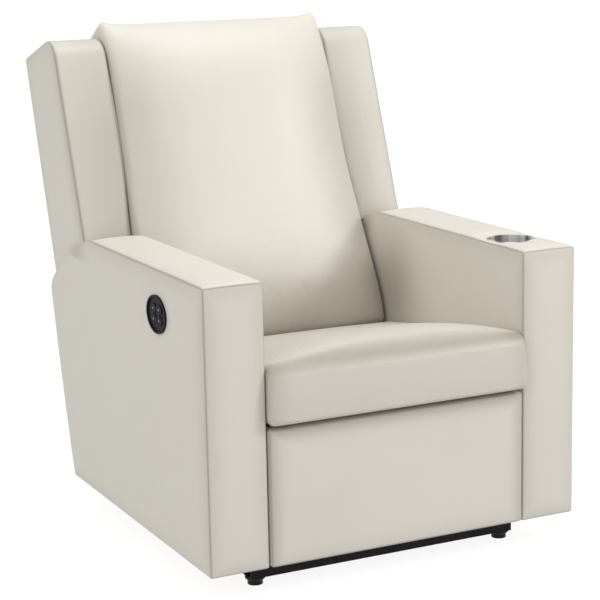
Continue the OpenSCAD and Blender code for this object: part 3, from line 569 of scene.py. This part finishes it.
# Footrest: a board with a flat foam pad, its cover pulled tight round the edges. It fills the
# opening between the arms, with painted shade near them and a painted shadow under the seat's lip.
rest_low, rest_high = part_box("footrest_pad")
rest_gap, rest_out = 0.0015, 0.010
rest_end_shade, rest_end_shade_w = 0.55, 0.022
rest_top_shade, rest_top_shade_w = 0.75, 0.020
flat = (rest_high - rest_low) / 2
flat.x = arm_in - rest_gap
flat.y += rest_out / 2
mesh = seamed_box(flat, (76, 12, 56), radius=0.008, rise=((0, 0), (0.004, 0), (0, 0)), soft=0.045)
shade = mesh.verts.layers.float["seam"]
# Painted shade at the ends by the arms, and a painted shadow along the top under the seat's lip.
for v in mesh.verts:
    v[shade] = max(v[shade], rest_end_shade * fade(flat.x - abs(v.co.x), rest_end_shade_w),
                   rest_top_shade * fade(flat.z - v.co.z, rest_top_shade_w))
rest_middle = (rest_low + rest_high) / 2 - Vector((0, rest_out / 2, 0))
bmesh.ops.translate(mesh, vec=rest_middle, verts=mesh.verts)
rest = piece("footrest_cover", mesh, "footrest", leatherette)
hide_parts("footrest_pad")

# Rear skirt: a thinly padded board that closes the frame between the arms, below the back. Its
# cover is stapled inside.
skirt_low, skirt_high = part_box("rear_skirt")
mesh = seamed_box((skirt_high - skirt_low) / 2, (50, 6, 24), radius=0.004,
                  rise=((0, 0), (0, 0.004), (0, 0)), soft=0.02)
bmesh.ops.translate(mesh, vec=(skirt_low + skirt_high) / 2, verts=mesh.verts)
skirt = piece("skirt_cover", mesh, "base", leatherette)
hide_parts("rear_skirt")

# Base frame, mechanism plates, rails and back frame: welded steel with a black powder coat, which
# is a little uneven and gathers dust.
def dress(finish, *names):
    """Gives CAD nodes a finish."""
    for name in names:
        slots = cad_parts[name].data.materials
        slots.clear()
        slots.append(finish)


black_coat, tap, shader = finish_of("black_powder_coat", Specular_IOR_Level=0.12)
place = tap.node("TexCoord", output=3)
peel = tap.node("TexNoise", inputs={"Vector": place, "Scale": 900.0, "Detail": 2.0})
dust = tap.node("TexNoise", inputs={"Vector": place, "Scale": 22.0, "Detail": 4.0})
pebble = tap.node("Bump", inputs={"Strength": 0.15, "Distance": 0.0004, "Height": peel})
join(tap, shader, Base_Color=tones(tap, dust, (0.005, 0.005, 0.006), (0.014, 0.014, 0.015)),
     Roughness=dust * 0.2 + 0.35, Normal=pebble)
dress(black_coat, "base_front_bar", "base_rear_bar", "base_side_rails", "side_plates", "motor_crossbar",
      "seat_front_strap", "seat_rear_rail", "legrest_rail", "recline_rail", "back_uprights",
      "back_cross_rails", "recline_arms")

# Floor glides: turned nylon feet, screwed up into the base tubes. The cases of the motors, of the
# supply and of the switch are moulded in the same black nylon.
nylon, tap, shader = finish_of("black_nylon", Specular_IOR_Level=0.15)
place = tap.node("TexCoord", output=3)
scuff = tap.node("TexNoise", inputs={"Vector": place, "Scale": 160.0, "Detail": 5.0})
join(tap, shader, Base_Color=tones(tap, scuff, (0.005, 0.005, 0.006), (0.015, 0.015, 0.016)),
     Roughness=scuff * 0.3 + 0.3)
dress(nylon, "glide_feet", "power_supply", "legrest_motor", "recline_motor", "switch_body")

# Links, pins, cranks, sliders and fasteners: pressed and turned steel, zinc plated, with a faint
# spangle.
plating, tap, shader = finish_of("zinc_plate", Metallic=1.0)
place = tap.node("TexCoord", output=3)
spangle = tap.node("TexVoronoi", inputs={"Vector": place, "Scale": 260.0})
haze = tap.node("TexNoise", inputs={"Vector": place, "Scale": 40.0, "Detail": 4.0})
join(tap, shader, Base_Color=tones(tap, haze, (0.46, 0.47, 0.48), (0.66, 0.67, 0.67)),
     Roughness=spangle * 0.2 + haze * 0.2 + 0.2)
dress(plating, "hinge_bearings", "frame_bolts", "torque_tube", "drive_links", "carry_links", "tilt_links",
      "drive_link_pins", "bracket_pins", "footrest_brackets", "legrest_crank", "legrest_slider",
      "recline_crank", "recline_slider", "recline_pins")

# Springs of the seat and the back: bent from spring wire with a dark oiled surface, and hooked
# on the rails.
wire, tap, shader = finish_of("spring_wire", Metallic=1.0)
place = tap.node("TexCoord", output=3)
oil = tap.node("TexNoise", inputs={"Vector": place, "Scale": 90.0, "Detail": 3.0})
join(tap, shader, Base_Color=tones(tap, oil, (0.10, 0.10, 0.105), (0.24, 0.235, 0.23)),
     Roughness=oil * 0.25 + 0.25)
dress(wire, "seat_springs", "back_springs")

# Boards inside the arms, behind the wings and under the footrest pad: birch plywood, cut and left
# bare. The grain runs along the depth of the seat.
plywood, tap, shader = finish_of("birch_plywood")
place = tap.node("TexCoord", output=3)
drawn = tap.node("Mapping", inputs={"Vector": place, "Scale": (90.0, 5.0, 90.0)})
grain = tap.node("TexNoise", inputs={"Vector": drawn, "Scale": 1.0, "Detail": 5.0, "Distortion": 0.6})
ridge = tap.node("Bump", inputs={"Strength": 0.2, "Distance": 0.0005, "Height": grain})
join(tap, shader, Base_Color=tones(tap, grain, (0.38, 0.25, 0.13), (0.70, 0.54, 0.35)),
     Roughness=grain * 0.2 + 0.5, Normal=ridge)
dress(plywood, "arm_frames", "footrest_board", "wing_rails", "wing_boards")

# Cup holder: a deep-drawn stainless cup with a flat rolled rim, dropped into the right arm, and a
# soft rubber mat in its bottom.
stainless, tap, shader = finish_of("brushed_stainless", Metallic=0.3)
place = tap.node("TexCoord", output=3)
# Painted reflections: bands of light and dark in the steel's colour stand for the studio mirrored in the
# cup; the brushing runs over them.
drawn = tap.node("Mapping", inputs={"Vector": place, "Scale": (34.0, 34.0, 0.0)})
reflection_bands = tap.node("TexNoise", inputs={"Vector": drawn, "Scale": 1.0, "Detail": 1.0})
reflection_bands = tap.node("ValToRGB", {"stops": [(0.42, 0.0), (0.58, 1.0)]}, {"Fac": reflection_bands})
turned = tap.node("Mapping", inputs={"Vector": place, "Scale": (60.0, 60.0, 1800.0)})
brushing = tap.node("TexNoise", inputs={"Vector": turned, "Scale": 1.0, "Detail": 3.0})
lines = tap.node("Bump", inputs={"Strength": 0.12, "Distance": 0.0002, "Height": brushing})
brushing_and_reflections = tones(tap, reflection_bands * 0.8 + brushing * 0.2, (0.12, 0.125, 0.12), (1.0, 1.0, 1.0))
join(tap, shader, Base_Color=brushing_and_reflections, Roughness=brushing * 0.12 + 0.20, Normal=lines)
dress(stainless, "cup_liner")
rubber, tap, shader = finish_of("black_rubber")
place = tap.node("TexCoord", output=3)
studs = tap.node("TexVoronoi", inputs={"Vector": place, "Scale": 220.0})
pads = tap.node("Bump", inputs={"Strength": 0.5, "Distance": 0.0008, "Height": studs})
join(tap, shader, Base_Color=tones(tap, studs, (0.010, 0.010, 0.010), (0.030, 0.030, 0.030)),
     Roughness=studs * 0.3 + 0.55, Normal=pads)
dress(rubber, "cup_mat")

# Switch: an oval plate of glossy black plastic let into the side of the left arm, with four
# buttons that press in. A plain pale dot is printed on each button.
gloss, tap, shader = finish_of("gloss_black_plastic", Specular_IOR_Level=0.035)
place = tap.node("TexCoord", output=3)
smear = tap.node("TexNoise", inputs={"Vector": place, "Scale": 70.0, "Detail": 3.0})
join(tap, shader, Base_Color=tones(tap, smear, (0.007, 0.009, 0.010), (0.016, 0.019, 0.020)),
     Roughness=smear * 0.12 + 0.32)
buttons = ("button_recline_back", "button_recline_up", "button_legs_out", "button_legs_in")
dress(gloss, "switch_bezel", *buttons)
mark_r, mark_t = 0.0019, 0.0008
pale_print, tap, shader = finish_of("pale_print")
place = tap.node("TexCoord", output=3)
worn = tap.node("TexNoise", inputs={"Vector": place, "Scale": 900.0, "Detail": 2.0})
join(tap, shader, Base_Color=tones(tap, worn, (0.30, 0.33, 0.33), (0.50, 0.53, 0.52)),
     Roughness=worn * 0.2 + 0.35)
for name in buttons:
    low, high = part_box(name)
    mesh = bmesh.new()
    bmesh.ops.create_cone(mesh, cap_ends=True, segments=32, radius1=mark_r, radius2=mark_r, depth=mark_t)
    bmesh.ops.rotate(mesh, cent=(0, 0, 0), matrix=Matrix.Rotation(math.pi / 2, 3, "Y"), verts=mesh.verts)
    bmesh.ops.translate(mesh, vec=(low.x, (low.y + high.y) / 2, (low.z + high.z) / 2), verts=mesh.verts)
    piece(name + "_mark", mesh, name, pale_print, smooth=0)

# Studio: a white paper floor that glows but throws no light on the seat, an even sky that is
# brighter above and in front, three soft lights, and the camera where the photograph was taken.
floor_half = 90.0
mesh = bmesh.new()
bmesh.ops.create_grid(mesh, x_segments=1, y_segments=1, size=floor_half)
data = bpy.data.meshes.new("floor")
mesh.to_mesh(data)
mesh.free()
floor = bpy.data.objects.new("floor", data)
bpy.context.scene.collection.objects.link(floor)
paper, tap, shader = finish_of("floor_paper", Roughness=0.9, Base_Color=(0.16, 0.16, 0.16, 1),
                              Emission_Color=(1, 1, 1, 1), Emission_Strength=0.90)
data.materials.append(paper)
floor.visible_diffuse = False

world = bpy.data.worlds.new("studio")
world.use_nodes = True
backdrop = world.node_tree.nodes["Background"]
backdrop.inputs["Color"].default_value = (1, 1, 1, 1)
tap = Tap(world.node_tree)
way = tap.node("TexCoord")
behind = tap.node("SeparateXYZ", inputs={"Vector": way}, output=1)
above = tap.node("SeparateXYZ", inputs={"Vector": way}, output=2)
sky = above * 0.10 - behind * 0.10 + 0.615
join(tap, backdrop, Strength=sky)
bpy.context.scene.world = world
bpy.context.scene.view_settings.view_transform = "Standard"

middle = Vector((0, 0, 0.5))
for name, spot, size, power in (("key", (2.3, -2.1, 2.0), 0.8, 29), ("fill", (-2.3, -1.2, 2.2), 1.8, 12),
                                ("top", (0.4, 0.2, 3.6), 1.8, 27)):
    lamp = bpy.data.lights.new(name, "AREA")
    lamp.size, lamp.energy = size, power
    made = bpy.data.objects.new(name, lamp)
    made.location = spot
    made.rotation_euler = (Vector(spot) - middle).to_track_quat("Z", "Y").to_euler()
    bpy.context.scene.collection.objects.link(made)

turn, tilt, roll = math.radians(26.0), math.radians(11.8), math.radians(-1.2)
ahead = Vector((math.sin(turn) * math.cos(tilt), math.cos(turn) * math.cos(tilt), -math.sin(tilt)))
level = Vector((math.cos(turn), -math.sin(turn), 0))
upright = level.cross(ahead)
right = level * math.cos(roll) + upright * math.sin(roll)
upper = upright * math.cos(roll) - level * math.sin(roll)
camera_x, camera_y, camera_z = -1.6634, -2.9882 + front, 1.2581
eye = bpy.data.cameras.new("camera")
eye.lens = 110.6
camera = bpy.data.objects.new("camera", eye)
bpy.context.scene.collection.objects.link(camera)
camera.matrix_world = Matrix([(right.x, upper.x, -ahead.x, camera_x),
                              (right.y, upper.y, -ahead.y, camera_y),
                              (right.z, upper.z, -ahead.z, camera_z), (0, 0, 0, 1)])
bpy.context.scene.camera = camera

bpy.context.view_layer.update()
